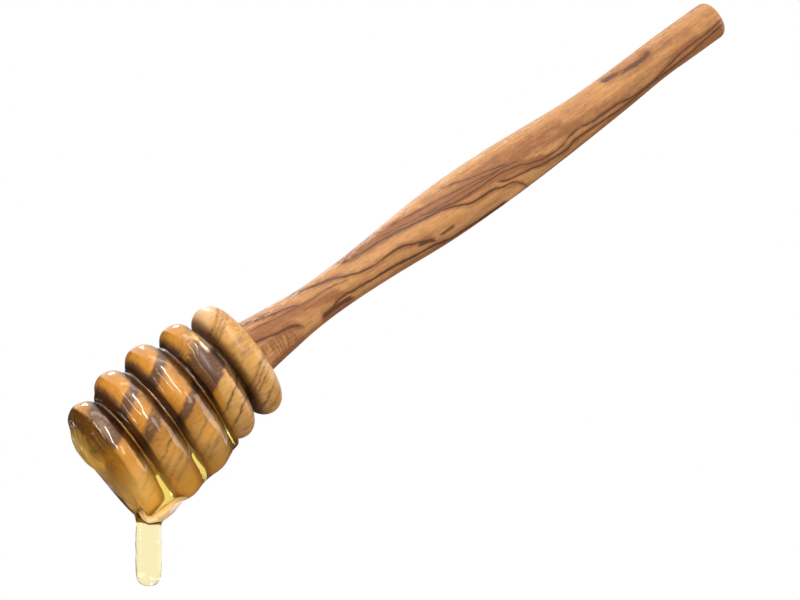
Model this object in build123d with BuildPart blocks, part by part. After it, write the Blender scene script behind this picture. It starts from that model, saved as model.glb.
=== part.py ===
from build123d import *
from math import cos, pi, radians, sin, sqrt
import os

# Driving dimensions, in millimetres, and angles in degrees

# Pose: held with the head low, so that the honey leaves it at the front rim.
# The origin is on the handle, where the fingers hold it.
lean = 34.0
cant = 1.4
grip_distance = 58.5

# Turned head: ring beads on a barrel, then a bare neck and a thick collar
ring_count = 4
ring_pitch = 8.25
ring_bead = 3.2
front_to_crest = 1.2
neck_pitch = 7.6
barrel_radius = 14.4
barrel_arc = 53.0
front_to_barrel = 16.7
core_radius = 8.0
groove_round = 0.5
front_round = 0.8
collar_radius = 13.0
collar_bead = 3.2

# Glued joint: a round tenon on the handle in a blind socket in the head
tenon_radius = 3.5
tenon_length = 12.0
tenon_round = 0.6
glue_gap = 0.15
glue_bottom = 0.6

# Carved handle: flared foot, slim neck, belly and a straight round end
handle_length = 125.5
foot_radius = 6.4
neck_radius = 4.35
neck_distance = 22.5
belly_radius = 6.0
belly_distance = 57.5
end_radius = 4.2
end_length = 12.0
end_round = 1.8
bow_depth = 0.75
bow_distance = 15.0
bow_skew = 2.2

# Each pair is a share of the way along and a share of the change in radius
foot_to_neck_shares = ((0.16, 0.32), (0.35, 0.57), (0.59, 0.86))
neck_to_belly_shares = ((0.20, 0.14), (0.44, 0.46), (0.69, 0.86))
belly_to_end_shares = ((0.17, 0.11), (0.38, 0.45), (0.58, 0.77), (0.78, 0.94))

# Honey on the head: an even film that is thicker on the front face, more of it sunk to the underside
film = 0.5
front_film = 1.8
fill_depth = 2.6
meniscus_round = 0.35
sag_drop = 4.6
sag_cant = 2.2
sag_lead = 1.7
sag_start_radius = 9.0
sag_middle_radius = 11.2
sag_end_radius = 10.5
edge_place = 1.3
edge_slant = 11.5

# Tongue of honey that runs down over the upper half of the front face
tongue_rise = 4.2
tongue_length = 10.0
tongue_width = 19.0
tongue_depth = 2.0
tongue_slant = 8.0
tongue_round = 0.9

# Falling thread of honey, and the funnel that it hangs from
thread_radius = 2.8
thread_place = 2.5
thread_length = 10.2
drop_length = 16.8
funnel_radius = 5.9
funnel_height = 8.6
funnel_shift = 1.6

# Each triple is a share of the funnel's height, of its widening and of its shift
funnel_shares = ((0.18, 0.07, 0.09), (0.36, 0.21, 0.34), (0.55, 0.57, 0.66), (0.73, 0.80, 0.86))

# Derived directions and places

along = Vector(cos(radians(lean)), 0, sin(radians(lean)))
below = Vector(sin(radians(lean)), 0, -cos(radians(lean)))
head_lean = lean + cant
head_along = Vector(cos(radians(head_lean)), 0, sin(radians(head_lean)))
head_below = Vector(sin(radians(head_lean)), 0, -cos(radians(head_lean)))
joint = along * -grip_distance

head_length = front_to_crest + (ring_count - 1) * ring_pitch + neck_pitch + collar_bead
ring_places = [front_to_crest - head_length + number * ring_pitch for number in range(ring_count)]
last_ring = ring_places[-1]
honey_front = head_length + front_film
socket_radius = tenon_radius + glue_gap
socket_depth = tenon_length + glue_bottom
end_distance = handle_length - end_length

head_plane = Plane(origin=joint, x_dir=head_along, z_dir=(0, -1, 0))
joint_plane = Plane(origin=joint, x_dir=(0, 1, 0), z_dir=head_along)
socket_plane = Plane(origin=joint, x_dir=(0, 1, 0), z_dir=-head_along)
head_axis = Axis(joint, head_along)


def crest_radius(place):
    """Radius of a ring's crest on the barrel, at a place measured from the joint."""
    off_centre = place + head_length - front_to_barrel
    return barrel_radius - barrel_arc + sqrt(barrel_arc**2 - off_centre**2)


lowest_wall = min(crest_radius(place) for place in ring_places) - ring_bead - core_radius
floor_round = min(groove_round, lowest_wall / 2)


def between(start, end, shares):
    """Stations between two others, as distance and radius."""
    return [
        (start[0] + (end[0] - start[0]) * way, start[1] + (end[1] - start[1]) * change)
        for way, change in shares
    ]


def bow(distance):
    """How far the handle's middle line dips under the straight line at a distance from the joint."""
    share = (distance - bow_distance) / (end_distance - bow_distance)
    if share <= 0:
        return 0
    return bow_depth * sin(pi * share**bow_skew) ** 2


# Turned head before its socket is drilled

with BuildPart() as turned_head:
    with BuildSketch(head_plane) as head_profile:
        Rectangle(head_length, core_radius, align=(Align.MAX, Align.MIN))
        for place in ring_places:
            disc_radius = crest_radius(place) - ring_bead
            with Locations((place, 0)):
                Rectangle(2 * ring_bead, disc_radius, align=(Align.CENTER, Align.MIN))
            with Locations((place, disc_radius)):
                Circle(ring_bead)
        with Locations((-collar_bead, 0)):
            Rectangle(2 * collar_bead, collar_radius - collar_bead, align=(Align.CENTER, Align.MIN))
        with Locations((-collar_bead, collar_radius - collar_bead)):
            Circle(collar_bead)
        with Locations((-head_length, 0)):
            Rectangle(ring_bead, barrel_radius, align=(Align.MAX, Align.MIN), mode=Mode.SUBTRACT)
        groove_corners = [
            corner for corner in head_profile.vertices()
            if abs(corner.Y - core_radius) < floor_round and -head_length < corner.X < 0
        ]
        fillet(groove_corners, floor_round)
        front_corner = head_profile.vertices().group_by(Axis.X)[0].sort_by(Axis.Y)[-1]
        fillet(front_corner, front_round)
    revolve(axis=head_axis)

with BuildPart() as head:
    add(turned_head.part)
    with BuildSketch(socket_plane):
        Circle(socket_radius)
    extrude(amount=socket_depth, mode=Mode.SUBTRACT)

head.part.label = "head"

# Carved handle with its tenon

stations = [(0, foot_radius)]
stations += between(stations[-1], (neck_distance, neck_radius), foot_to_neck_shares)
stations += [(neck_distance, neck_radius)]
stations += between(stations[-1], (belly_distance, belly_radius), neck_to_belly_shares)
stations += [(belly_distance, belly_radius)]
stations += between(stations[-1], (end_distance, end_radius), belly_to_end_shares)
stations += [(end_distance, end_radius)]

with BuildPart() as handle:
    with BuildSketch(joint_plane):
        Circle(foot_radius)
    for distance, radius in stations[1:]:
        middle = joint + along * distance + below * bow(distance)
        with BuildSketch(Plane(origin=middle, x_dir=(0, 1, 0), z_dir=along)):
            Circle(radius)
    loft()
    with BuildSketch(Plane(origin=joint + along * end_distance, x_dir=(0, 1, 0), z_dir=along)):
        Circle(end_radius)
    extrude(amount=end_length)
    handle_end = handle.faces().sort_by(Axis(joint, along))[-1]
    fillet(handle_end.edges(), end_round)
    with BuildSketch(socket_plane):
        Circle(tenon_radius)
    extrude(amount=tenon_length)
    tenon_end = handle.faces().sort_by(Axis(joint, along))[0]
    chamfer(tenon_end.edges(), tenon_round)

handle.part.label = "handle"

# Glue that fills the socket round the tenon

with BuildPart() as glue_film:
    with BuildSketch(socket_plane):
        Circle(socket_radius)
    extrude(amount=socket_depth)
    add(handle.part, mode=Mode.SUBTRACT)

glue_film.part.label = "glue_film"

# Honey coat: the film over the rings, the part that has sunk, and the tongue

sag_origin = joint + head_along * last_ring + head_below * sag_drop
sag_lean = head_lean + sag_cant
sag_along = Vector(cos(radians(sag_lean)), 0, sin(radians(sag_lean)))
sag_plane = Plane(origin=sag_origin, x_dir=sag_along, z_dir=(0, -1, 0))
sag_length = head_length + last_ring + sag_lead

tongue_lean = head_lean - tongue_slant
tongue_out = Vector(-cos(radians(tongue_lean)), 0, -sin(radians(tongue_lean)))
tongue_origin = joint - head_along * (honey_front + tongue_depth / 2) - head_below * tongue_rise

edge_lean = head_lean - edge_slant
edge_origin = joint + head_along * (last_ring + edge_place)
edge_normal = Vector(cos(radians(edge_lean)), 0, sin(radians(edge_lean)))

with BuildPart() as tongue:
    with BuildSketch(Plane(origin=tongue_origin, x_dir=(0, 1, 0), z_dir=tongue_out)):
        Ellipse(tongue_width / 2, tongue_length / 2)
    extrude(amount=-tongue_depth - front_film)
    tongue_front = tongue.faces().sort_by(Axis(joint, -head_along))[-1]
    fillet(tongue_front.edges(), tongue_round)

with BuildPart() as honey_coat:
    with BuildSketch(head_plane) as film_profile:
        for place in ring_places:
            disc_radius = crest_radius(place) - ring_bead
            with Locations((place, disc_radius)):
                Circle(ring_bead + film)
        with BuildLine():
            Polyline(
                (last_ring, 0),
                *[(place, crest_radius(place) - fill_depth) for place in reversed(ring_places)],
                (-honey_front, crest_radius(ring_places[0]) - ring_bead),
                (-honey_front, 0),
                close=True,
            )
        make_face()
        with Locations((-honey_front, 0)):
            Rectangle(ring_bead, barrel_radius, align=(Align.MAX, Align.MIN), mode=Mode.SUBTRACT)
        menisci = [
            corner for corner in film_profile.vertices()
            if abs(corner.Y - crest_radius(corner.X) + fill_depth) < meniscus_round
            and ring_places[0] < corner.X < last_ring
        ]
        fillet(menisci, meniscus_round)
    revolve(axis=head_axis)
    with BuildSketch(sag_plane):
        with BuildLine():
            Line((0, 0), (0, sag_start_radius))
            ThreePointArc(
                (0, sag_start_radius),
                (-sag_length / 2, sag_middle_radius),
                (-sag_length, sag_end_radius),
            )
            Polyline((-sag_length, sag_end_radius), (-sag_length, 0), (0, 0))
        make_face()
    revolve(axis=Axis(sag_origin, sag_along))
    split(bisect_by=Plane(origin=edge_origin, z_dir=edge_normal), keep=Keep.BOTTOM)
    add(tongue.part)
    add(turned_head.part, mode=Mode.SUBTRACT)

honey_coat.part.label = "honey_coat"

# Falling honey: a funnel under the front ring that draws out into a thread

first_crest = crest_radius(ring_places[0]) - ring_bead
lowest = joint + head_along * ring_places[0] + head_below * first_crest + Vector(0, 0, -ring_bead)
drop_end = lowest + Vector(thread_place, 0, -drop_length)
funnel_foot = drop_end + Vector(0, 0, thread_length)
funnel_stations = [(0, 0, 0), *funnel_shares, (1, 1, 1)]

with BuildPart() as honey_drop:
    for height_share, widening_share, shift_share in funnel_stations:
        middle = funnel_foot + Vector(funnel_shift * shift_share, 0, funnel_height * height_share)
        with BuildSketch(Plane(origin=middle, z_dir=(0, 0, 1))):
            Circle(thread_radius + (funnel_radius - thread_radius) * widening_share)
    loft()
    with BuildSketch(Plane(origin=drop_end, x_dir=(1, 0, 0), z_dir=(0, -1, 0))):
        with BuildLine():
            Line((0, 0), (0, thread_length))
            Line((0, thread_length), (thread_radius, thread_length))
            Line((thread_radius, thread_length), (thread_radius, thread_radius))
            RadiusArc((thread_radius, thread_radius), (0, 0), thread_radius)
        make_face()
    revolve(axis=Axis(drop_end, (0, 0, 1)))
    add(turned_head.part, mode=Mode.SUBTRACT)
    add(honey_coat.part, mode=Mode.SUBTRACT)

honey_drop.part.label = "honey_drop"

# Parts are written one by one

os.makedirs("parts", exist_ok=True)
export_step(head.part, "parts/head.step")
export_step(handle.part, "parts/handle.step")
export_step(glue_film.part, "parts/glue_film.step")
export_step(honey_coat.part, "parts/honey_coat.step")
export_step(honey_drop.part, "parts/honey_drop.step")
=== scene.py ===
# %% [markdown]
# # An olive-wood honey dipper with honey running off it
#
# The object is a turned head of four rings and a collar, a carved handle glued into it, and the honey
# that still clings to the rings and falls from the front one. The wood is two CAD solids that are right
# as they stand, so here they only get their grain. The honey is a liquid: its CAD solids are good for
# weight and place, but its skin needs the soft necks and menisci that only a smoothed mesh has.
#
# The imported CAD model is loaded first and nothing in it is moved. Everything else is placed from it.

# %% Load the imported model
from math import atan2, cos, degrees, pi, radians, sin, sqrt

import bpy
from mathutils import Matrix, Vector


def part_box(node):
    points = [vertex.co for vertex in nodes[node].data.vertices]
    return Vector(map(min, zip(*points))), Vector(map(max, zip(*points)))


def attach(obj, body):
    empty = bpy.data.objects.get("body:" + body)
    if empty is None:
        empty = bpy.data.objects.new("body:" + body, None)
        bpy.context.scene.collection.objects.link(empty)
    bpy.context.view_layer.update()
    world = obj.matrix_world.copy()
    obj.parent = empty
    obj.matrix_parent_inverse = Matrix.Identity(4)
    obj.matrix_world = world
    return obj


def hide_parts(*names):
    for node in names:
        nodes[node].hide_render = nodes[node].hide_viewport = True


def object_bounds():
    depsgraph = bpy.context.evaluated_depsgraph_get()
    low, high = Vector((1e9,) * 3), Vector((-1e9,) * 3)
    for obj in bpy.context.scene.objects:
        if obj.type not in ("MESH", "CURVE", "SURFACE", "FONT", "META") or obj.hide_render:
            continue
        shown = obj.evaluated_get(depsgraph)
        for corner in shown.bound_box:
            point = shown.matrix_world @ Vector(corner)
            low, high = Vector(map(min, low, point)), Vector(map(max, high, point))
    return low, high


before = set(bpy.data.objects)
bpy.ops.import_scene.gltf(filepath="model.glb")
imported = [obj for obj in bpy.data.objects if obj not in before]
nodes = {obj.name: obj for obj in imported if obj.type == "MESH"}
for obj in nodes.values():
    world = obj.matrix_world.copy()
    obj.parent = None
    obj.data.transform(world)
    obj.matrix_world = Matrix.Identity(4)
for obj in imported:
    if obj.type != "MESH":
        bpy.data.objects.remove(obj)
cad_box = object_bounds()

for name in sorted(nodes):
    low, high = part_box(name)
    print(name, "is", [round(size * 1000, 1) for size in high - low], "mm")

# %% [markdown]
# ## Directions
#
# The handle rises towards +X, and the head hangs a little lower than the handle's line. Grain runs
# along each of them, so both need a frame of their own: along the axis, away from the viewer, and up
# across the axis.

# %% Name the directions and the main sizes, in metres
mm = 0.001
lean = radians(34.0)
head_lean = radians(35.4)
grip_to_joint = 58.5 * mm


def along(angle, distance):
    """A point in the dipper's own plane, at a distance up a line that rises at an angle."""
    return Vector((cos(angle) * distance, 0, sin(angle) * distance))


joint = along(lean, -grip_to_joint)
head_axis = along(head_lean, 1)
head_down = Vector((sin(head_lean), 0, -cos(head_lean)))
print("the joint is at", [round(value / mm, 1) for value in joint], "mm")

# %% [markdown]
# ## Camera
#
# The picture was taken from far away with a long lens, level with the dipper and turned about twenty
# degrees towards its head. The camera is aimed at the picture's middle instead of being shifted, so that
# other views stay centred.

# %% Place the camera
picture_width, picture_height = 800, 600
camera_turn = radians(-20.17)
camera_height = radians(0.14)
camera_roll = radians(0.1)
camera_distance = 773.2 * mm
focal_pixels = 3694.0
grip_pixel = (470.8, 191.8)

level = Vector((-sin(camera_turn), cos(camera_turn), 0))
view = level * cos(camera_height) - Vector((0, 0, sin(camera_height)))
right = Vector((cos(camera_turn), sin(camera_turn), 0))
up = right.cross(view)

camera_data = bpy.data.cameras.new("camera")
camera = bpy.data.objects.new("camera", camera_data)
bpy.context.scene.collection.objects.link(camera)
bpy.context.scene.camera = camera
camera.location = -view * camera_distance
across = (picture_width / 2 - grip_pixel[0]) / focal_pixels * camera_distance
rise = (grip_pixel[1] - picture_height / 2) / focal_pixels * camera_distance
aim = right * across + up * rise - camera.location
camera.rotation_euler = aim.to_track_quat("-Z", "Y").to_euler()
camera.rotation_euler.rotate_axis("Z", camera_roll)
camera_data.sensor_width = 36.0
camera_data.lens = focal_pixels / picture_width * camera_data.sensor_width
camera_data.clip_start = 0.05
camera_data.clip_end = 20.0
print("the lens is", round(camera_data.lens, 1), "mm long")

# %% [markdown]
# ## Helpers for shader nodes
#
# A procedural material is a small machine of nodes. The first helper adds a node with its settings and
# inputs by name. The others are the steps that every pattern here is made of: sums, products, soft steps
# from 0 to 1, mixes and noise.

# %% Add nodes, sums and soft steps
def put(tree, kind, settings=None, **inputs):
    """Adds a shader node. Inputs are given by name, as numbers, colours or the outputs of other nodes."""
    made = tree.nodes.new("ShaderNode" + kind)
    for name, value in (settings or {}).items():
        setattr(made, name, value)
    for name, value in inputs.items():
        socket = made.inputs[int(name[1:])] if name[1:].isdigit() else made.inputs[name.replace("_", " ")]
        if isinstance(value, bpy.types.NodeSocket):
            tree.links.new(value, socket)
        else:
            socket.default_value = value
    return made


def sums(tree, operation, a, b=0.0, c=0.0, clamp=False):
    """The result of one Math node."""
    made = put(tree, "Math", {"operation": operation, "use_clamp": clamp}, i0=a, i1=b, i2=c)
    return made.outputs[0]


def product(tree, *factors):
    """The product of several values."""
    result = factors[0]
    for factor in factors[1:]:
        result = sums(tree, "MULTIPLY", result, factor)
    return result


def scaled(tree, value, factor, plus):
    """A value times a factor, plus another value."""
    return sums(tree, "MULTIPLY_ADD", value, factor, plus)


def fade(tree, value, low, high, smooth=True):
    """0 below one value and 1 above another, with a soft step between them."""
    kind = "SMOOTHSTEP" if smooth else "LINEAR"
    made = put(tree, "MapRange", {"interpolation_type": kind}, Value=value, From_Min=low, From_Max=high)
    return made.outputs[0]


def blend(tree, factor, a, b, mode="MIX"):
    """Two colours mixed by a factor."""
    made = put(tree, "Mix", {"data_type": "RGBA", "blend_type": mode}, i0=factor, i6=a, i7=b)
    return made.outputs[2]


def mix(tree, factor, a, b):
    """Two values mixed by a factor."""
    return put(tree, "Mix", {"data_type": "FLOAT"}, i0=factor, i2=a, i3=b).outputs[0]


def tinted(tree, factor, colour, tint):
    """A colour that is multiplied by a tint as far as a factor says."""
    return blend(tree, factor, colour, blend(tree, 1.0, colour, tint, "MULTIPLY"))


def noise(tree, place, stretch, detail=2.0, roughness=0.5):
    """Noise from -0.5 to 0.5 about its middle, with its place stretched by three factors per millimetre."""
    stretched = put(tree, "VectorMath", {"operation": "MULTIPLY"}, i0=place, i1=stretch)
    made = put(tree, "TexNoise", Vector=stretched.outputs[0], Scale=1.0, Detail=detail, Roughness=roughness)
    return sums(tree, "SUBTRACT", made.outputs[0], 0.5)


# %% [markdown]
# ## Groups, materials and finishes
#
# A look that two materials share is a node group with named sockets. Each material starts from an empty
# tree, so it holds only what its own builder adds.

# %% Start groups and materials
def new_group(name, wanted, given):
    """An empty node group with named inputs and outputs, each a pair of name and socket kind."""
    group = bpy.data.node_groups.new(name, "ShaderNodeTree")
    for title, kind in wanted:
        group.interface.new_socket(title, in_out="INPUT", socket_type="NodeSocket" + kind)
    for title, kind in given:
        group.interface.new_socket(title, in_out="OUTPUT", socket_type="NodeSocket" + kind)
    return group, group.nodes.new("NodeGroupInput").outputs, group.nodes.new("NodeGroupOutput").inputs


def new_material(name):
    """A material whose tree is empty but for its output."""
    material = bpy.data.materials.new(name)
    material.use_nodes = True
    tree = material.node_tree
    tree.nodes.clear()
    return material, tree, tree.nodes.new("ShaderNodeOutputMaterial").inputs


def bumpy_shader(tree, colour, roughness, height, depth, strength):
    """A surface with a bump, whose depth is in millimetres."""
    bump = put(tree, "Bump", Strength=strength, Distance=depth * mm, Height=height)
    return put(tree, "BsdfPrincipled", Base_Color=colour, Roughness=roughness, Normal=bump.outputs[0])


def give_finish(piece, material):
    """The piece gets one material all over."""
    piece.data.materials.clear()
    piece.data.materials.append(material)


# %% [markdown]
# ## Places in the wood
#
# Every pattern is computed from object coordinates in millimetres, turned so that X runs along the grain
# of a piece. The head's are also rolled round the grain by the angle at which the sight lines climb
# across it, so their Y points away from the viewer.

# %% Turn object coordinates along the grain
sight_climb, sight_depth = 0.187, 0.9426
viewer_turn = atan2(sight_climb, sight_depth)


def timber_turn(lean_angle, roll):
    """The turn from the dipper's frame to a piece's own grain."""
    return Matrix.Rotation(roll, 3, "X") @ Matrix.Rotation(lean_angle, 3, "Y")


def timber_place(tree, lean_angle=head_lean, origin=joint, roll=viewer_turn):
    """Places in the head, or in another piece of wood: X along the grain, Y to the back, Z up across it."""
    turned = timber_turn(lean_angle, roll)
    shift = turned @ (origin / mm)
    coordinates = put(tree, "TexCoord").outputs["Object"]
    mapped = put(
        tree, "Mapping", Vector=coordinates, Location=-shift, Rotation=turned.to_euler("XYZ"),
        Scale=(1 / mm, 1 / mm, 1 / mm),
    )
    return mapped.outputs[0]


def grain_axes(tree, place):
    """The three parts of a timber place."""
    return tuple(put(tree, "SeparateXYZ", Vector=place).outputs)


print("the head's grain is rolled by", round(degrees(viewer_turn), 1), "degrees")

# %% [markdown]
# ## Olive wood
#
# Olive wood is golden, with brown growth lines and nearly black veins where the tree stored oil. All of
# them are layers through the wood: a line on the surface is where a layer comes out. So the pattern is
# computed in space, from one number that says which layer a point lies in. Each piece gives its own
# layers and veins to one shared group, which turns them into colour, roughness and height.

# %% Build the timber group
vein_colour = (0.095, 0.036, 0.014, 1)


def build_timber():
    group, given, out = new_group(
        "timber",
        [
            ("Place", "Vector"), ("Layer", "Float"), ("Vein", "Float"), ("Tone", "Float"),
            ("Line Strength", "Float"), ("Pale", "Color"), ("Brown", "Color"),
        ],
        [("Color", "Color"), ("Roughness", "Float"), ("Height", "Float")],
    )
    place = given["Place"]
    streak = noise(group, place, (0.035, 0.5, 0.5), detail=4.0, roughness=0.6)
    cloud = noise(group, place, (0.05, 0.12, 0.12), detail=2.0)
    fibre = noise(group, place, (0.18, 1.7, 1.7), detail=4.0, roughness=0.7)
    speckle = noise(group, place, (0.9, 1.7, 1.7), detail=3.0, roughness=0.7)
    pore_field = noise(group, place, (0.7, 6.0, 6.0), detail=1.0)
    pores = fade(group, pore_field, 0.15, 0.24)

    # Fine growth lines: noise over the layer number alone, sharpened
    wobble = scaled(group, streak, 0.5, given["Layer"])
    rings = put(
        group, "TexNoise", {"noise_dimensions": "1D"}, W=product(group, wobble, 1.15),
        Scale=1.0, Detail=3.0, Roughness=0.6,
    ).outputs[0]
    lines = fade(group, rings, 0.50, 0.66)
    lines = product(group, lines, given["Line Strength"])

    tone = scaled(group, streak, 0.9, given["Tone"])
    tone = scaled(group, cloud, 0.9, tone)
    tone = sums(group, "ADD", tone, lines)
    tone = scaled(group, fibre, 1.3, tone)
    tone = sums(group, "MULTIPLY_ADD", speckle, 0.9, tone, clamp=True)
    colour = blend(group, tone, given["Pale"], given["Brown"])
    vein = scaled(group, fibre, 0.6, given["Vein"])
    vein = scaled(group, speckle, 0.4, vein)
    vein = product(group, fade(group, vein, 0.15, 0.75), fade(group, given["Vein"], 0.02, 0.2))
    colour = blend(group, product(group, vein, 0.92), colour, vein_colour)
    colour = blend(group, product(group, pores, 0.35), colour, vein_colour)
    group.links.new(colour, out["Color"])

    roughness = scaled(group, fibre, 0.25, 0.5)
    group.links.new(scaled(group, vein, -0.08, roughness), out["Roughness"])
    height = scaled(group, pores, -0.6, fibre)
    group.links.new(scaled(group, lines, -0.3, height), out["Height"])
    return group


timber = build_timber()
print("the timber group has", len(timber.nodes), "nodes")

# %% [markdown]
# ## Grain of the handle
#
# The handle was cut from a branch that grew askew, so its dark veins come out of its upper side and
# wander down along it, and past the belly all of them run along its lower side. Each vein is a line
# through the wood, given by how high it lies at places along the handle. Broad faint lines of the same
# kind make the browner bands.

# %% Write down the handle's veins and bands
# Half width in millimetres, darkness, and the line: places along the handle and heights across it
handle_veins = (
    (0.5, 1.0, ((-60, 2.2), (-54.8, 1.25), (-52.2, 0.6), (-49.6, 0.2), (-48, -0.5), (-46.8, -1.7))),
    (0.32, 0.8, ((-60, 6.8), (-56.4, 5.9), (-51.2, 4.5), (-48.5, 4.0), (-46.4, 3.3), (-44.8, 2.2))),
    (0.36, 1.0, (
        (-46, 5.4), (-40.6, 4.3), (-36.4, 3.1), (-32.2, 1.5), (-30.2, 0.75), (-27, 0.5), (-20.6, 0.35),
        (-18.5, -0.4), (-16.7, -1.25), (-13, -3.2),
    )),
    (0.36, 0.9, (
        (-43, -2.1), (-39.6, -1.75), (-36.9, -1.15), (-34.3, -1.35), (-30.6, -1.6), (-21.2, -2.65),
        (-15.9, -3.3), (-8, -4.55), (5, -5.1),
    )),
    (0.36, 1.0, (
        (-33, 4.9), (-26.4, 3.85), (-22.2, 3.65), (-19, 3.3), (-13.3, 2.2), (-8, 1.25), (-5.4, 0.2),
        (-2.7, -0.85), (2.5, -1.25), (5, -2.0), (7.2, -2.45), (8.8, -3.6), (10.5, -5.4),
    )),
    (0.3, 0.9, (
        (-14, 3.4), (-7.5, 1.7), (-2.7, 1.0), (3, 1.0), (8.8, 0.2), (13.5, -1.5), (18.3, -2.3), (25.6, -1.25),
        (28.3, -1.75), (34.6, -1.85), (43, -2.55), (49.3, -1.9), (55.6, -0.85), (61.9, -0.7), (67, -0.1),
    )),
    (0.28, 0.95, (
        (4, -0.4), (8.3, -1.75), (12, -2.3), (17.7, -3.3), (20.9, -3.4), (24, -2.8), (32.5, -3.0),
        (36.7, -3.2), (43, -2.75), (54.6, -2.3), (59.8, -1.85), (67, -1.1),
    )),
    (0.22, 0.9, ((-12.6, -2.2), (-10.6, -2.65), (-8, -2.4))),
    (0.25, 0.7, ((-7, 5.4), (-3.3, 4.55), (-0.6, 3.75), (4.1, 2.7), (9, 1.2))),
    (0.2, 0.8, ((-20, 5.0), (-12, 4.2), (-4, 3.1), (3, 2.1), (11, 0.7))),
    (0.18, 0.7, ((-24, 4.7), (-15, 3.3), (-8, 2.5), (0, 1.9), (8, 1.5))),
    (0.2, 0.6, ((-58, 4.6), (-50, 3.2), (-45, 2.6), (-38, 2.0), (-33, 1.0))),
    (0.75, 0.85, ((36, 3.9), (39.8, 3.35), (42.5, 2.95), (45.1, 2.8), (47.7, 2.95), (49.5, 3.3))),
    (0.75, 0.9, ((-43, -2.2), (-39, -2.1), (-34, -2.4))),
    (0.75, 0.7, ((-18, -1.4), (-13, -2.6))),
)
handle_bands = (
    (2.2, 0.7, ((-60, 3.6), (-54, 2.8), (-48, 2.2), (-44, 1.6))),
    (1.6, 0.7, ((-48, 2.4), (-42, 1.2), (-36, 0.1))),
    (2.0, 0.75, ((-34, 5.4), (-24, 4.9), (-16, 4.0), (-8, 2.6), (0, 1.4), (6, 0.4), (12, -0.9), (17, -2.6))),
    (1.8, 0.5, ((-12, 5.0), (0, 3.2), (10, 1.6), (20, 0.2), (30, -0.4), (44, -0.8), (60, -0.4))),
    (1.6, 0.3, ((8, -5.4), (20, -4.6), (30, -4.2), (40, -3.5), (50, -2.8), (60, -2.3), (68, -2.0))),
    (1.6, 0.3, ((46, 3.0), (52, 2.7), (60, 2.0))),
    (3.0, 0.45, ((-2, 3.9), (6, 3.2), (14, 2.4), (24, 1.6))),
)
# The handle's upper and lower outline, as places along it and heights across it. The painted highlight lies
# under the upper one, and the painted shade over the lower one.
upper_edge = (
    (-58, 6.1), (-50, 5.2), (-38, 4.7), (-26, 5.3), (-12, 5.8), (3, 5.8), (18, 4.9), (35, 4.7), (66, 4.9),
)
lower_edge = (
    (-58, -5.2), (-47, -3.5), (-37, -3.1), (-26, -3.6), (-16, -4.6), (3, -5.9), (24, -5.1), (45, -3.3),
    (66, -3.1),
)
print("the handle has", len(handle_veins), "veins and", len(handle_bands), "bands")

# %% [markdown]
# ## Lines through the wood
#
# A Float Curve node bends a straight ramp into any line, so one node holds a whole vein. The wood is
# darkest on the line, and browner beside it.

# %% Draw lines through the wood
def climb_curve(tree, place_along, points):
    """A Float Curve over the place along a piece. It takes and gives shares of the points' own range."""
    first, last = points[0][0], points[-1][0]
    lowest = min(climb for _, climb in points)
    highest = max(climb for _, climb in points)
    here = fade(tree, place_along, first, last, smooth=False)
    made = put(tree, "FloatCurve", Value=here)
    line = made.mapping.curves[0]
    spots = [((at - first) / (last - first), (climb - lowest) / (highest - lowest)) for at, climb in points]
    line.points[0].location, line.points[1].location = spots[0], spots[-1]
    for spot in spots[1:-1]:
        line.points.new(*spot)
    made.mapping.update()
    return scaled(tree, made.outputs[0], highest - lowest, lowest)


def darkest(tree, way, height, lines):
    """The darkness of the nearest of several lines through the wood, and of the soft halo beside it."""
    core, halo = 0.0, 0.0
    for half_width, darkness, points in lines:
        off = sums(tree, "ABSOLUTE", sums(tree, "SUBTRACT", height, climb_curve(tree, way, points)))
        first, last = points[0][0], points[-1][0]
        begun = fade(tree, way, first - 0.5, first + 1.5)
        unfinished = fade(tree, way, last + 0.5, last - 1.5)
        present = product(tree, begun, unfinished, darkness)
        near = product(tree, present, fade(tree, off, half_width, half_width * 0.2))
        beside = product(tree, present, fade(tree, off, half_width * 3.5, 0.0))
        core = sums(tree, "MAXIMUM", core, near)
        halo = sums(tree, "MAXIMUM", halo, beside)
    return core, halo


# %% [markdown]
# ## Finish of the handle
#
# The layers slope away from the viewer, so the far side shows other parts of the same veins. The foot has
# the saw's fine marks across the grain, and the lower edge is browner as painted shade. Along the upper
# side, which was left rough, the grain stands up, and it is painted pale as a painted highlight.

# %% Give the handle its grain
handle_pale = (0.52, 0.253, 0.085, 1)
handle_brown = (0.25, 0.094, 0.031, 1)
# Colour of the painted highlight on the rough upper side
painted_sheen_colour = (0.68, 0.43, 0.27, 1)
near_side = 5.5
layer_slope = 0.15


def handle_layers(tree, place, depth, height):
    """How high each point lies among the layers, which waver and slope away from the viewer."""
    waver = noise(tree, place, (0.15, 0.5, 0.5), detail=3.0)
    ripple = noise(tree, place, (0.6, 1.6, 1.6), detail=2.0)
    level = scaled(tree, sums(tree, "ADD", depth, near_side), layer_slope, height)
    level = scaled(tree, waver, 0.7, level)
    return scaled(tree, ripple, 0.3, level)


def handle_tone(tree, place, way, height, level, halo):
    """How brown the handle is: its bands, the veins' halos, the foot's saw marks and painted shade on the
    lower edge.
    """
    patchy = noise(tree, place, (0.06, 0.4, 0.4), detail=4.0)
    tone = scaled(tree, patchy, 0.9, darkest(tree, way, level, handle_bands)[0])
    tone = sums(tree, "ADD", scaled(tree, halo, 0.7, tone), 0.24)
    hatch = noise(tree, place, (2.4, 0.25, 0.25), detail=1.0)
    foot = product(tree, fade(tree, way, -47, -50), fade(tree, height, 1.0, -0.5))
    tone = scaled(tree, product(tree, hatch, foot), 1.7, tone)
    tone = scaled(tree, foot, 0.45, tone)
    # Painted shade: the handle is browner just over its lower outline
    over_edge = sums(tree, "SUBTRACT", height, climb_curve(tree, way, lower_edge))
    return scaled(tree, fade(tree, over_edge, 0.7, 0.0), 0.4, tone)


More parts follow.
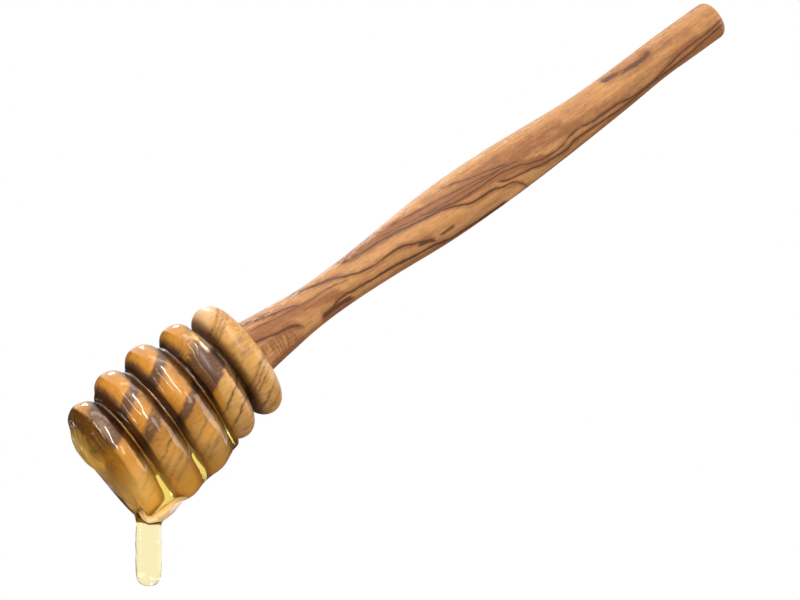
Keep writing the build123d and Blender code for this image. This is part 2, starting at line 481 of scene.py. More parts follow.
def raised_grain_and_sheen(tree, place, way, height):
    """1 on the rough upper side, where the grain stands up and is painted pale as a painted highlight."""
    under_edge = sums(tree, "SUBTRACT", climb_curve(tree, way, upper_edge), height)
    flaky = noise(tree, place, (0.5, 1.5, 1.5), detail=4.0, roughness=0.7)
    return product(tree, fade(tree, under_edge, 1.7, 0.2), fade(tree, flaky, -0.02, 0.14))


def build_handle_wood():
    material, tree, out = new_material("handle_wood")
    place = timber_place(tree, lean, Vector((0, 0, 0)), 0.0)
    way, depth, height = grain_axes(tree, place)
    level = handle_layers(tree, place, depth, height)
    vein, halo = darkest(tree, way, level, handle_veins)
    broken = noise(tree, place, (0.25, 0.9, 0.9), detail=2.0)
    vein = product(tree, vein, fade(tree, broken, -0.4, 0.0))
    tone = handle_tone(tree, place, way, height, level, halo)
    wood = put(
        tree, "Group", {"node_tree": timber}, Place=place, Layer=sums(tree, "SUBTRACT", level, way),
        Vein=vein, Tone=tone, Line_Strength=0.0, Pale=handle_pale, Brown=handle_brown,
    ).outputs
    # Painted highlight: the raised grain on the upper side is painted pale, and it also raises the bump
    grain_and_sheen = raised_grain_and_sheen(tree, place, way, height)
    colour = blend(tree, product(tree, grain_and_sheen, 0.6), wood["Color"], painted_sheen_colour)
    raised = sums(tree, "ADD", wood["Height"], grain_and_sheen)
    shader = bumpy_shader(tree, colour, wood["Roughness"], raised, depth=0.14, strength=0.4)
    shader.inputs["Specular IOR Level"].default_value = 0.3
    tree.links.new(shader.outputs[0], out["Surface"])
    return material


handle_wood = build_handle_wood()
give_finish(nodes["handle"], handle_wood)
print("the handle's wood has", len(handle_wood.node_tree.nodes), "nodes")

# %% [markdown]
# ## Grain of the head
#
# The head was turned from another piece of the same wood. Its layers lie nearly level, so each round
# ring cuts them in bands and nested arcs. A colour ramp for each ring says how brown the wood is from
# its top down, and the layers climb a little across the ring.

# %% Write down the bands of each ring
# Heights down from the head's axis in millimetres and brownness there, from the front ring to the collar
head_tones = (
    (
        (-14, 0.1), (-11, 0.1), (-9.8, 0.45), (-8.8, 0.95), (-1.2, 1.0), (-0.3, 0.2), (0.6, 0.08),
        (6.4, 0.08), (7.2, 0.6), (7.9, 0.2), (8.8, 1.0), (9.6, 0.2), (10.4, 0.05), (10.9, 0.7),
        (11.4, 0.0), (14, 0.0),
    ),
    (
        (-14.5, 0.1), (-8.7, 0.1), (-8.0, 0.95), (-6.3, 1.0), (-5.6, 0.2), (-2.2, 0.15), (-1.5, 0.8),
        (0.8, 0.9), (1.6, 0.35), (4.4, 0.3), (5.1, 1.0), (5.7, 0.15), (7.2, 0.75), (7.8, 0.15),
        (9.0, 0.8), (9.6, 0.1), (11, 0.65), (11.8, 0.0), (14.5, 0.0),
    ),
    (
        (-14.5, 0.1), (-9.9, 0.1), (-9.3, 0.95), (-7.5, 1.0), (-6.8, 0.15), (-0.6, 0.1), (0.1, 0.95),
        (1.8, 0.95), (2.5, 0.25), (5.6, 0.3), (6.2, 0.95), (6.9, 0.15), (8.4, 0.15), (9.2, 0.8),
        (9.9, 0.15), (10.8, 0.8), (11.6, 0.15), (14.5, 0.1),
    ),
    (
        (-14, 0.1), (-10.7, 0.12), (-10.1, 0.6), (-9.6, 0.2), (-9.0, 0.65), (-8.4, 0.3), (-7.6, 0.8),
        (-6.8, 1.0), (0.4, 1.0), (1.2, 0.1), (4.3, 0.08), (4.9, 1.0), (5.6, 0.1), (7.8, 0.1), (8.5, 0.9),
        (9.1, 0.12), (12, 0.2), (14, 0.35),
    ),
    (
        (-14, 0.0), (-10.3, 0.1), (-9.7, 0.8), (-9.2, 0.2), (-8.6, 0.75), (-8.1, 0.2), (-7.5, 0.65),
        (-6.9, 0.12), (-4, 0.3), (-1, 0.35), (2.5, 0.08), (3.7, 0.8), (4.2, 0.1), (4.7, 0.7),
        (5.2, 0.05), (5.8, 0.55), (6.3, 0.0), (8.2, 0.05), (8.7, 0.7), (9.3, 0.1), (11, 0.55),
        (11.5, 0.1), (14, 0.1),
    ),
)
front_tones = ((-14, 0.9), (-3, 0.95), (-1, 0.5), (4, 0.35), (6, 0.6), (8, 0.3), (14, 0.2))
tone_low, tone_high = -16.0, 16.0
front_ring, ring_step = -35.55, 8.25
print("the head has", len(head_tones), "ramps, one for each ring and one for the collar")

# %% [markdown]
# ## From ring to ring
#
# Each ramp counts only at its own ring, so neighbours are blended at the groove between them. The front
# face has a ramp of its own.

# %% Blend the bands from ring to ring
def ramp(tree, value, stops):
    """A colour ramp of greys over a height down the head, from pairs of height and strength."""
    made = put(tree, "ValToRGB", Fac=value)
    points = made.color_ramp.elements
    places = [(down - tone_low) / (tone_high - tone_low) for down, _ in stops]
    greys = [(strength, strength, strength, 1) for _, strength in stops]
    points[0].position, points[0].color = places[0], greys[0]
    points[1].position, points[1].color = places[-1], greys[-1]
    for place, grey in zip(places[1:-1], greys[1:-1]):
        points.new(place).color = grey
    return made.outputs[0]


def ring_by_ring(tree, way, down):
    """The brownness of the head, where each ring has its own ramp."""
    on_ramp = fade(tree, down, tone_low, tone_high, smooth=False)
    tone = ramp(tree, on_ramp, head_tones[0])
    for number, stops in enumerate(head_tones[1:]):
        border = front_ring + (number + 0.5) * ring_step
        past = fade(tree, way, border - 0.3, border + 0.3)
        tone = mix(tree, past, tone, ramp(tree, on_ramp, stops))
    front = fade(tree, way, front_ring - 0.4, front_ring - 1.1)
    return mix(tree, front, tone, ramp(tree, on_ramp, front_tones))


# %% [markdown]
# ## Painted highlights, painted shade, painted light and wet wood
#
# A painted highlight lies on top of the collar and in a crescent beside the neck. A pale lobe on the front
# face is painted light, for the light that shines through the tongue of honey. The flanks of the rings,
# the grooves and the neck get painted shade. Wood under honey is wet, so it is darker and richer. Amber
# painted light lies on the floors of the grooves, and painted light makes the underside paler.

# %% Mask the parts of the head
# The honey ends at a plane just before the last ring, and at another that climbs over that ring's top
low_edge = (joint + head_axis * -12.4 * mm, head_lean - radians(3))
high_edge = (joint + head_axis * -11.8 * mm - head_down * 7.4 * mm, head_lean - radians(50.6))
# The lobe of painted light on the front face: its middle, and how far it goes from there, in depth and height
lobe_depth, lobe_height = 5.0, 2.5
lobe_width, lobe_rise = 9.0, 6.5


def under_honey(tree, place, plane):
    """1 on the honey's side of one of its two edge planes, 0 beyond it."""
    point, tilt = plane
    turned = timber_turn(head_lean, viewer_turn)
    normal = turned @ along(tilt, 1)
    from_edge = put(tree, "VectorMath", {"operation": "DOT_PRODUCT"}, i0=place, i1=normal).outputs["Value"]
    edge_at = (turned @ (point - joint)).dot(normal) / mm
    return fade(tree, from_edge, edge_at + 0.3, edge_at - 0.3)


def painted_highlights(tree, way, down, height, from_crest):
    """1 where a painted highlight lies: a little on top of the collar, and in a crescent beside the neck."""
    collar = fade(tree, way, -7.0, -6.0)
    on_top = product(tree, collar, fade(tree, down, -9.8, -11.5), 0.25)
    crescent = product(
        tree, fade(tree, from_crest, 0.9, 1.7), fade(tree, way, -14.0, -12.0),
        sums(tree, "SUBTRACT", 1.0, collar), fade(tree, height, 4.5, 6.0), fade(tree, height, 10.5, 9.0),
    )
    return sums(tree, "MAXIMUM", on_top, crescent)


def front_lobe_light(tree, way, depth, height, ragged):
    """1 on the pale lobe of painted light on the front face, with a soft ragged edge."""
    across = scaled(tree, depth, 1 / lobe_width, -lobe_depth / lobe_width)
    rise = scaled(tree, height, 1 / lobe_rise, -lobe_height / lobe_rise)
    squares = sums(tree, "ADD", sums(tree, "POWER", across, 2.0), sums(tree, "POWER", rise, 2.0))
    from_middle = scaled(tree, ragged, 0.8, sums(tree, "SQRT", squares))
    return product(tree, fade(tree, way, -36.0, -36.6), fade(tree, from_middle, 1.35, 0.45))


def flank_shade(tree, way, height, from_crest, ragged, mottle):
    """How much painted shade the flanks get: most on the handle's side, on the front's side at the top, and
    the neck.
    """
    behind = scaled(tree, mottle, 1.2, from_crest)
    behind = product(tree, fade(tree, behind, 1.6, 2.2), fade(tree, from_crest, 4.0, 3.7))
    ahead = scaled(tree, ragged, 1.2, from_crest)
    ahead = product(tree, fade(tree, ahead, -1.9, -2.9), fade(tree, height, 5.5, 8.5))
    groove = product(tree, fade(tree, from_crest, -2.7, -3.0), fade(tree, from_crest, -3.6, -3.3))
    lighter_below = scaled(tree, fade(tree, height, -4.0, -10.0), -0.6, 0.95)
    flank = sums(tree, "MAXIMUM", sums(tree, "MAXIMUM", behind, ahead), groove)
    flank = product(tree, flank, lighter_below)
    past_rings = fade(tree, way, -8.6, -7.6)
    neck = product(tree, past_rings, fade(tree, way, -4.8, -6.2), 0.8)
    return mix(tree, past_rings, flank, neck)


def underside_light(tree, way, height, wet):
    """How much painted light pales the underside, most of all under the first ring."""
    most = scaled(tree, fade(tree, way, -31.0, -32.0), 0.3, 0.2)
    return product(tree, most, wet, fade(tree, height, -2.0, -9.0))


# %% [markdown]
# ## Finish of the head
#
# The bands go through the timber group, as the handle's do, with faint growth lines of the group's own.
# The masks then tint the colour one after another: painted highlights, the wet wood under the honey,
# painted shade, and painted light in the grooves, on the underside and on the front lobe.

# %% Give the head its grain
head_pale = (0.57, 0.290, 0.068, 1)
head_brown = (0.18, 0.066, 0.021, 1)
# Colour of the painted highlights on top of the collar and beside the neck
painted_highlight_colour = (0.95, 0.72, 0.50, 1)
# Colour of the painted light on the front lobe, for light through the tongue of honey
lobe_light_colour = (0.95, 0.66, 0.26, 1)
# Colour of the painted light on the floors of the grooves
groove_light_colour = (0.55, 0.24, 0.035, 1)
# Colour of the painted light on the underside
underside_light_colour = (0.92, 0.60, 0.22, 1)
wet_tint = (0.75, 0.65, 0.20, 1)
# Tint of the painted shade on the flanks, in the grooves and on the neck
flank_shade_tint = (0.17, 0.10, 0.07, 1)


def build_head_wood():
    material, tree, out = new_material("head_wood")
    place = timber_place(tree)
    way, depth, height = grain_axes(tree, place)
    from_crest = sums(tree, "WRAP", sums(tree, "SUBTRACT", way, front_ring), ring_step / 2, -ring_step / 2)
    ragged = noise(tree, place, (0.3, 0.6, 0.6), detail=3.0)
    mottle = noise(tree, place, (0.5, 1.6, 1.6), detail=3.0)
    down = scaled(tree, from_crest, 0.6, product(tree, height, -1.0))
    level = scaled(tree, ragged, 1.5, down)
    tone = ring_by_ring(tree, way, level)
    tone = scaled(tree, product(tree, mottle, tone), 1.2, tone)
    vein = product(tree, fade(tree, tone, 0.55, 1.05), 0.85)
    wood = put(
        tree, "Group", {"node_tree": timber}, Place=place, Layer=level, Vein=vein, Tone=tone,
        Line_Strength=0.12, Pale=head_pale, Brown=head_brown,
    ).outputs

    # Painted highlights on top of the collar and in a crescent beside the neck
    pale = product(tree, painted_highlights(tree, way, down, height, from_crest), 0.85)
    colour = blend(tree, pale, wood["Color"], painted_highlight_colour)
    wet = sums(tree, "MAXIMUM", under_honey(tree, place, low_edge), under_honey(tree, place, high_edge))
    colour = tinted(tree, wet, colour, wet_tint)
    # Painted shade on the flanks of the rings, in the grooves and on the neck
    flank = flank_shade(tree, way, height, from_crest, ragged, mottle)
    colour = tinted(tree, flank, colour, flank_shade_tint)
    # Painted light: amber on the floors of the grooves under the honey
    groove_light = product(tree, fade(tree, from_crest, -3.6, -3.9), wet, 0.7)
    colour = blend(tree, groove_light, colour, groove_light_colour)
    # Painted light that makes the underside paler, most under the first ring
    colour = blend(tree, underside_light(tree, way, height, wet), colour, underside_light_colour)
    # Painted light on the front lobe, for the light that shines through the tongue of honey
    grainy = scaled(tree, mottle, 0.7, 0.6)
    lobe = product(tree, front_lobe_light(tree, way, depth, height, ragged), grainy)
    colour = blend(tree, lobe, colour, lobe_light_colour)

    roughness = product(tree, wood["Roughness"], 0.8)
    shader = bumpy_shader(tree, colour, roughness, wood["Height"], depth=0.12, strength=0.15)
    tree.links.new(shader.outputs[0], out["Surface"])
    return material


head_wood = build_head_wood()
give_finish(nodes["head"], head_wood)
print("the head's wood has", len(head_wood.node_tree.nodes), "nodes")

# %% [markdown]
# ## Glue in the joint
#
# Set wood glue is a dull cream plastic. It is sealed inside the joint, but the model can be taken
# apart, so it gets a finish too: cream with faint clouds, and small ripples from the brush.

# %% Finish the glue
def build_glue():
    material, tree, out = new_material("wood_glue")
    place = timber_place(tree)
    clouds = noise(tree, place, (0.6, 0.6, 0.6), detail=3.0)
    cream = blend(tree, sums(tree, "ADD", clouds, 0.5), (0.86, 0.77, 0.55, 1), (0.70, 0.58, 0.36, 1))
    ripples = noise(tree, place, (1.5, 4.0, 4.0))
    shader = bumpy_shader(tree, cream, scaled(tree, clouds, 0.2, 0.4), ripples, depth=0.1, strength=0.3)
    tree.links.new(shader.outputs[0], out["Surface"])
    return material


wood_glue = build_glue()
give_finish(nodes["glue_film"], wood_glue)
print("the glue has", len(wood_glue.node_tree.nodes), "nodes")

# %% [markdown]
# ## The skin of the honey
#
# Honey is thick, so it follows the rings as a film, fills the grooves between them, sinks to the
# underside, and leaves in a thread. Each of those is easy to make alone: a circle is extruded section
# by section into a turned form, an ellipsoid makes the tongue. They are joined into one liquid later.

# %% Turn a form from sections
def deselect():
    """Nothing is selected any more, CAD solids included."""
    if bpy.context.mode != "OBJECT":
        bpy.ops.object.mode_set(mode="OBJECT")
    bpy.ops.object.select_all(action="DESELECT")


def turned_form(name, sections, direction, turns=64):
    """A closed form of circles, each given by its middle and radius, that face along a direction."""
    deselect()
    facing = direction.to_track_quat("Z", "Y").to_euler()
    middle, radius = sections[0]
    bpy.ops.mesh.primitive_circle_add(
        vertices=turns, radius=radius, fill_type="NGON", location=middle, rotation=facing
    )
    piece = bpy.context.object
    piece.name = name
    bpy.ops.object.transform_apply(location=True, rotation=True, scale=True)
    bpy.ops.object.mode_set(mode="EDIT")
    bpy.ops.mesh.select_all(action="SELECT")
    for next_middle, next_radius in sections[1:]:
        bpy.ops.mesh.extrude_region_move(TRANSFORM_OT_translate={"value": next_middle - middle})
        grow = next_radius / radius
        bpy.ops.transform.resize(value=(grow, grow, grow), center_override=next_middle)
        middle, radius = next_middle, next_radius
    bpy.ops.mesh.select_all(action="SELECT")
    bpy.ops.mesh.normals_make_consistent(inside=False)
    bpy.ops.object.mode_set(mode="OBJECT")
    return piece


# %% [markdown]
# ## The film over the rings
#
# The film follows the beads of the rings at an even distance, a little late, as a liquid does that creeps
# downhill, and it fills the grooves. Surface tension rounds its front. It is turned twice, because the
# honey ends at two planes: one copy is for the coat, and one for the cap on the last ring.

# %% Turn the film
barrel_radius = 14.4 * mm
barrel_arc = 53.0 * mm
barrel_middle = -20.05 * mm
ring_bead = 3.2 * mm
wood_front = -36.75 * mm
film = 0.45 * mm
film_lag = 0.1 * mm
front_film = 1.6 * mm
groove_fill = 2.3 * mm
film_step = 0.35 * mm
film_past_crest = 2.6 * mm
# Each pair is a share of the first radius, and how far it stands out in millimetres
front_dome = ((0.30, 0.8), (0.60, 0.65), (0.82, 0.4), (0.95, 0.15))

ring_places = [(front_ring + ring_step * number) * mm for number in range(4)]
ring_crests = [
    barrel_radius - barrel_arc + sqrt(barrel_arc**2 - (place - barrel_middle) ** 2) for place in ring_places
]


def film_radius(place):
    """Radius of the film at a place along the head: a bead with its film, or the filled groove."""
    crest = min(zip(ring_places, ring_crests), key=lambda ring: abs(ring[0] - place))
    off = place - crest[0] - film_lag
    bead = ring_bead + film
    over_ring = crest[1] - ring_bead + sqrt(max(bead**2 - off**2, 0.0))
    return max(over_ring, crest[1] - groove_fill)


film_start = wood_front - front_film
film_end = ring_places[-1] + film_past_crest
film_count = int((film_end - film_start) / film_step) + 1
film_places = [film_start + film_step * number for number in range(film_count)]
film_sections = [(joint + head_axis * place, film_radius(place)) for place in film_places]
first_radius = film_sections[0][1]
dome = [(joint + head_axis * (film_start - out * mm), first_radius * part) for part, out in front_dome]
film_sections = dome + film_sections
film_piece = turned_form("film", film_sections, head_axis)
cap_piece = turned_form("cap", film_sections, head_axis)
print("the film has", len(film_sections), "sections")

# %% [markdown]
# ## The honey that has sunk
#
# Most of the honey hangs under the head, where it bridges the grooves. It is a second turned form, set
# lower than the head's own axis. The honey ends just before the last ring, but a cap of it climbs over
# that ring's top. So the forms are cut with a bisect at one of two planes.

# %% Add the sunk honey and cut the edge
sag_lean = head_lean + radians(2.2)
sag_drop = 4.6 * mm
sag_lead = 1.7 * mm
sag_steps = 40
groove_draw = 0.3
# Each pair is a share of the length, from the last ring to the front, and a radius in millimetres
sag_radii = (
    (0.0, 9.0), (0.15, 9.9), (0.3, 10.6), (0.45, 11.1), (0.6, 11.3), (0.75, 11.2), (0.9, 10.9), (1.0, 10.3),
)
sag_axis = along(sag_lean, 1)
sag_start = joint + head_axis * ring_places[-1] + head_down * sag_drop
sag_length = ring_places[-1] - wood_front + sag_lead


def sag_radius(way):
    """Radius in millimetres of the sunk honey at a share of its length, drawn in at the grooves."""
    for (start, first), (end, last) in zip(sag_radii, sag_radii[1:]):
        if way <= end:
            plain = first + (last - first) * (way - start) / (end - start)
            break
    return plain + groove_draw * cos(2 * pi * way * sag_length / (ring_step * mm))


sag_ways = [number / sag_steps for number in range(sag_steps + 1)]
sag_sections = [(sag_start - sag_axis * sag_length * way, sag_radius(way) * mm) for way in sag_ways]
sag_piece = turned_form("sag", sag_sections, -sag_axis)


def cut_away(piece, point, normal, closed=True):
    """Cuts a piece with a plane and takes off the side that the normal points to."""
    deselect()
    bpy.context.view_layer.objects.active = piece
    piece.select_set(True)
    bpy.ops.object.mode_set(mode="EDIT")
    bpy.ops.mesh.select_all(action="SELECT")
    bpy.ops.mesh.bisect(plane_co=point, plane_no=normal, use_fill=closed, clear_outer=True)
    bpy.ops.object.mode_set(mode="OBJECT")


for piece, (point, tilt) in ((film_piece, low_edge), (sag_piece, low_edge), (cap_piece, high_edge)):
    cut_away(piece, point, along(tilt, 1))
    print(piece.name, "keeps", len(piece.data.polygons), "faces")

# %% [markdown]
# ## Tongue, funnel and thread
#
# A thick tongue of honey runs down over the upper half of the front face. Under the front ring the
# honey gathers in a funnel and draws out into a thread with a round end.

# %% Add the tongue, the funnel and the thread
def ellipsoid(name, middle, radii, turn):
    """A round lump with three radii, turned in the dipper's own plane."""
    deselect()
    bpy.ops.mesh.primitive_uv_sphere_add(segments=48, ring_count=24, radius=1, location=middle)
    piece = bpy.context.object
    piece.name = name
    piece.scale = radii
    piece.rotation_euler = (0, -turn, 0)
    bpy.ops.object.transform_apply(location=True, rotation=True, scale=True)
    return piece


tongue_radii = (1.9 * mm, 9.5 * mm, 5.4 * mm)
tongue_rise = 4.2 * mm
tongue_sink = 0.2 * mm
tongue_slant = radians(8)
tongue_middle = joint + head_axis * (film_start - tongue_sink) - head_down * tongue_rise
tongue = ellipsoid("tongue", tongue_middle, tongue_radii, head_lean - tongue_slant)

# The thread ends under the lowest place of the front ring, a little towards the handle
thread_shift, thread_reach = 2.5, 20.0
lowest_bead = joint + head_axis * ring_places[0] + head_down * (ring_crests[0] - ring_bead)
thread_end = lowest_bead + Vector((thread_shift, 0, -thread_reach)) * mm
# Height above the thread's end, radius, and shift to the right, in millimetres
drop_outline = (
    (0.15, 0.9, 0.1), (0.5, 1.7, 0.1), (1.1, 2.25, 0.1), (1.9, 2.6, 0.1), (2.8, 2.72, 0.1),
    (8.0, 2.68, 0.1), (12.8, 2.66, 0.1), (13.4, 2.8, 0.2), (14.0, 3.3, 0.6), (14.8, 3.9, 1.0),
    (15.6, 4.5, 1.2), (16.4, 5.1, 1.1), (17.6, 5.8, 0.9), (19.0, 6.2, 0.9),
)
drop_sections = [
    (thread_end + Vector((shift, 0, height)) * mm, radius * mm) for height, radius, shift in drop_outline
]
drop = turned_form("drop", drop_sections, Vector((0, 0, 1)))
print("the thread and its funnel have", len(drop_sections), "sections")

# %% [markdown]
# ## Bubbles
#
# Fine air bubbles gather where the honey leaves the wood, and make a pale cloud inside the funnel. They
# are far too small to model one by one, so the cloud is a slanted lump with a dull foamy finish, and a
# piece of its own.

# %% Put the cloud of bubbles into the funnel
bubbles_middle = thread_end + Vector((3.0, -1.5, 17.1)) * mm
bubbles = ellipsoid("bubbles", bubbles_middle, (4.8 * mm, 3.4 * mm, 2.3 * mm), radians(32))
bpy.ops.object.shade_smooth()
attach(bubbles, "root")
print("the cloud of bubbles has", len(bubbles.data.polygons), "faces")

# %% [markdown]
# ## One liquid
#
# The forms overlap. A voxel remesh keeps only their common outer skin, and a few rounds of smoothing
# take out the steps and round the necks, as surface tension does. Two displacements then make the skin
# flow in slow and quick waves.

# %% Join and smooth the honey
voxel = 0.32 * mm
deselect()
for piece in (sag_piece, cap_piece, tongue, drop, film_piece):
    piece.select_set(True)
bpy.context.view_layer.objects.active = film_piece
bpy.ops.object.join()
honey = bpy.context.object
honey.name = "honey"
honey.data.name = "honey"
remesh = honey.modifiers.new("one skin", "REMESH")
remesh.mode = "VOXEL"
remesh.voxel_size = voxel
bpy.ops.object.modifier_apply(modifier=remesh.name)
smooth = honey.modifiers.new("surface tension", "SMOOTH")
smooth.factor = 0.5
smooth.iterations = 14
bpy.ops.object.modifier_apply(modifier=smooth.name)
surface_waves = (("slow waves", 7.0 * mm, 0.35 * mm), ("quick waves", 2.6 * mm, 0.14 * mm))
for wave_name, wave_size, wave_height in surface_waves:
    pattern = bpy.data.textures.new(wave_name, "CLOUDS")
    pattern.noise_scale = wave_size
    flow = honey.modifiers.new(wave_name, "DISPLACE")
    flow.texture = pattern
    flow.texture_coords = "LOCAL"
    flow.strength = wave_height
    flow.mid_level = 0.6
    bpy.ops.object.modifier_apply(modifier=flow.name)
bpy.ops.object.shade_smooth()
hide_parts("honey_coat", "honey_drop")
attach(honey, "root")
print("the honey has", len(honey.data.polygons), "faces")

# %% [markdown]
# ## Honey
#
# Clear honey bends light about as much as glass does, and it swallows blue light, so a thin film looks
# pale and a thick pool amber. The colour therefore comes from absorption in its volume, not from its
# surface. Shadow rays pass straight through, so the wood under it is lit.

# %% Finish the honey
def build_honey():
    material, tree, out = new_material("honey")
    place = timber_place(tree)
    flow = noise(tree, place, (0.15, 0.35, 0.35), detail=1.0)
    roughness = scaled(tree, flow, 0.02, 0.015)
    shader = bumpy_shader(tree, (1.0, 0.95, 0.78, 1), roughness, flow, depth=0.25, strength=0.25)
    shader.inputs["Transmission Weight"].default_value = 1.0
    shader.inputs["IOR"].default_value = 1.49
    clear = put(tree, "BsdfTransparent", Color=(1.0, 0.96, 0.86, 1))
    is_shadow = put(tree, "LightPath").outputs["Is Shadow Ray"]
    both = put(tree, "MixShader", i0=is_shadow, i1=shader.outputs[0], i2=clear.outputs[0])
    tree.links.new(both.outputs[0], out["Surface"])
    absorb = put(tree, "VolumeAbsorption", Color=(0.985, 0.84, 0.05, 1), Density=85.0)
    tree.links.new(absorb.outputs[0], out["Volume"])
    return material


give_finish(honey, build_honey())
print("the honey is finished with", honey.active_material.name)

# %% [markdown]
# ## Finish of the bubbles
#
# Foam scatters light instead of bending it, so it is an opaque cream colour, rough, and stippled by the
# bubbles. The amber over it comes from the honey that it is seen through.

# %% Finish the bubbles
foam_pale = (0.96, 0.78, 0.62, 1)
foam_dark = (0.78, 0.50, 0.32, 1)


def build_bubbles():
    material, tree, out = new_material("bubbles")
    place = timber_place(tree)
    foam = noise(tree, place, (2.5, 2.5, 2.5), detail=3.0, roughness=0.7)
    cream = blend(tree, scaled(tree, foam, 1.6, 0.4), foam_pale, foam_dark)
    shader = bumpy_shader(tree, cream, scaled(tree, foam, 0.3, 0.6), foam, depth=0.2, strength=0.5)
    tree.links.new(shader.outputs[0], out["Surface"])
    return material


give_finish(bubbles, build_bubbles())
print("the bubbles are finished with", bubbles.active_material.name)

# %% [markdown]
# ## Floor and background
#
# The dipper hangs in a white studio. The floor is far below, pale, and keeps the soft shadow. Further out
# it turns into the white background, so no horizon shows. That white is only for rays from the camera,
# from a mirroring surface and through the honey, so it adds no diffuse light.

# %% Lay the floor
floor_drop = 0.16
floor_height = cad_box[0].z - floor_drop
deselect()
bpy.ops.mesh.primitive_plane_add(size=6.0, location=(0, 0, floor_height))
floor = bpy.context.object
floor.name = "floor"
bpy.ops.object.transform_apply(location=True)


def is_looked_at(tree):
    """1 for rays from the camera, from a mirroring surface and through the honey, 0 for others."""
    paths = put(tree, "LightPath").outputs
    looked_at = sums(tree, "MAXIMUM", paths["Is Camera Ray"], paths["Is Glossy Ray"])
    return sums(tree, "MAXIMUM", looked_at, paths["Is Transmission Ray"])


def build_floor():
    material, tree, out = new_material("floor")
    coordinates = put(tree, "TexCoord").outputs["Object"]
    distance = put(tree, "VectorMath", {"operation": "LENGTH"}, i0=coordinates).outputs["Value"]
    looked_at = is_looked_at(tree)
    far = product(tree, looked_at, fade(tree, distance, 0.35, 0.7))
    white = put(tree, "Emission", Color=(1, 1, 1, 1), Strength=1.0)
    # The floor throws back less light than its colour says, so the head's underside stays dark
    floor_colour = blend(tree, looked_at, (0.55, 0.55, 0.55, 1), (0.9, 0.9, 0.9, 1))
    grain = scaled(tree, noise(tree, coordinates, (30.0, 30.0, 30.0)), 0.05, 0.03)
    floor_colour = blend(tree, grain, floor_colour, (0.7, 0.7, 0.7, 1))
    pale = put(tree, "BsdfDiffuse", Color=floor_colour)
    both = put(tree, "MixShader", i0=far, i1=pale.outputs[0], i2=white.outputs[0])
    tree.links.new(both.outputs[0], out["Surface"])
    return material


give_finish(floor, build_floor())
print("the floor is", round(floor_drop / mm), "mm under the dipper")

# %% [markdown]
# ## The white room
#
# The world is the white background, and also the room's soft light, which is stronger from above. As on
# the floor, the full white is only for rays that look at it.

# %% Light the room
light_below, more_above = 0.42, 0.30
bpy.context.scene.view_settings.view_transform = "Standard"
world = bpy.data.worlds.new("studio")
bpy.context.scene.world = world
world.use_nodes = True
sky = world.node_tree
sky.nodes.clear()
rise = put(sky, "SeparateXYZ", Vector=put(sky, "TexCoord").outputs["Generated"]).outputs["Z"]
soft_light = scaled(sky, fade(sky, rise, -0.6, 0.6), more_above, light_below)
strength = sums(sky, "MAXIMUM", is_looked_at(sky), soft_light)
backdrop = put(sky, "Background", Color=(1, 1, 1, 1), Strength=strength)
sky.links.new(backdrop.outputs[0], sky.nodes.new("ShaderNodeOutputWorld").inputs["Surface"])
print("the room is set to", bpy.context.scene.view_settings.view_transform)

# %% [markdown]
# ## Lamps
#
# Each lamp is a soft box stretched between two directions from the head. A strip over the camera and a
# thin one beside it draw the long streaks on the honey, and a broader box at the front right lays a pale
# sheen on the middle of each ring. A large box at the right and one above light the wood. A thin strip at
# the low left, one behind the tip and a small bright lamp at the back light the honey's edges.

# %% Hang the lamps
def soft_box(name, start, end, distance, width, brightness):
    """A lamp stretched between two directions from the head, each given as right, back and up."""
    ends = [(right * d[0] + view * d[1] + up * d[2]).normalized() * distance for d in (start, end)]
    middle = (ends[0] + ends[1]) / 2
    length = (ends[1] - ends[0]).length
    data = bpy.data.lights.new(name, "AREA")
    data.shape = "RECTANGLE"
    data.size = width
    data.size_y = length
    data.energy = pi * width * length * brightness
    lamp = bpy.data.objects.new(name, data)
    bpy.context.scene.collection.objects.link(lamp)
    backwards = middle.normalized()
    lengthways = (ends[1] - ends[0]).normalized()
    axes = Matrix((lengthways.cross(backwards), lengthways, backwards)).transposed()
    lamp.matrix_world = Matrix.Translation(head_middle + middle) @ axes.to_4x4()
    print(name, "has a power of", round(data.energy, 2), "W")


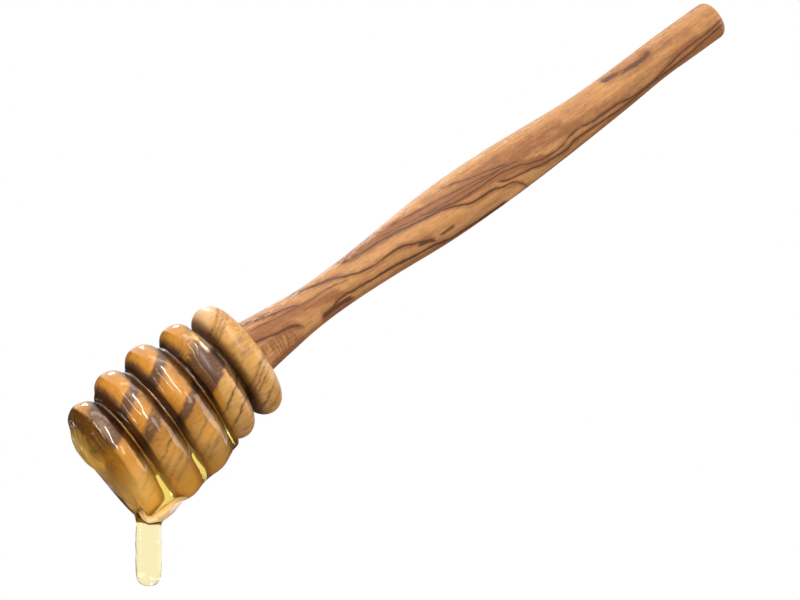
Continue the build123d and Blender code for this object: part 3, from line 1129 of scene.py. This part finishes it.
head_middle = joint + head_axis * -20 * mm
soft_box("over the camera", (0.0, -0.95, 0.25), (-0.15, -0.3, 0.95), 0.7, 0.05, 27.0)
soft_box("front right", (0.42, -0.88, 0.05), (0.45, -0.75, 0.45), 0.7, 0.16, 4.0)
soft_box("beside the camera", (-0.42, -0.88, 0.12), (-0.62, -0.3, 0.72), 0.7, 0.02, 17.0)
soft_box("right", (0.95, 0.12, -0.08), (0.8, 0.1, 0.6), 0.6, 0.55, 2.2)
soft_box("top", (-0.5, 0.1, 0.85), (0.35, 0.25, 0.9), 0.7, 0.16, 2.5)
soft_box("low left", (-0.96, -0.26, 0.1), (-0.1, -0.25, -0.96), 0.6, 0.015, 14.0)
soft_box("behind the tip", (-0.58, 0.79, -0.27), (-0.28, 0.90, -0.38), 0.7, 0.03, 3.0)
soft_box("back", (-0.34, 0.77, 0.56), (-0.22, 0.8, 0.50), 0.7, 0.07, 40.0)

# %% [markdown]
# ## Dark tent
#
# In an all-white room honey looks milky, because its skin mirrors white from every side. A photographer
# hangs black cloth round such a thing, open only above, behind and to the right. Its skin then stays
# clear, its upper edges shine, and its lower edges get a dark line. The cloth is a sphere cut open by a
# bisect, with a sheet that lies on the floor. Only mirrored rays see them, so they take no light away.

# %% Hang the dark tent
def build_cloth():
    material, tree, out = new_material("cloth")
    weave = noise(tree, put(tree, "TexCoord").outputs["Object"], (40.0, 40.0, 40.0))
    colour = blend(tree, sums(tree, "ADD", weave, 0.5), (0.03, 0.03, 0.03, 1), (0.06, 0.06, 0.06, 1))
    shader = put(tree, "BsdfDiffuse", Color=colour)
    tree.links.new(shader.outputs[0], out["Surface"])
    return material


tent_radius = 1.1
opening_distance = 0.35
sheet_lift = 0.002
deselect()
bpy.ops.mesh.primitive_uv_sphere_add(segments=48, ring_count=24, radius=tent_radius, location=head_middle)
tent = bpy.context.object
tent.name = "dark_tent"
bpy.ops.object.transform_apply(location=True)
opening = (view * 0.35 + up * 0.85 + right * 0.4).normalized()
cut_away(tent, head_middle + opening * opening_distance, opening, closed=False)
bpy.ops.mesh.primitive_plane_add(size=2.0, location=(0, 0, floor_height + sheet_lift))
sheet = bpy.context.object
sheet.name = "dark_sheet"
bpy.ops.object.transform_apply(location=True)
cloth = build_cloth()
for piece in (tent, sheet):
    give_finish(piece, cloth)
    piece.visible_camera = piece.visible_diffuse = piece.visible_transmission = piece.visible_shadow = False
print("the tent has", len(tent.data.polygons), "faces")
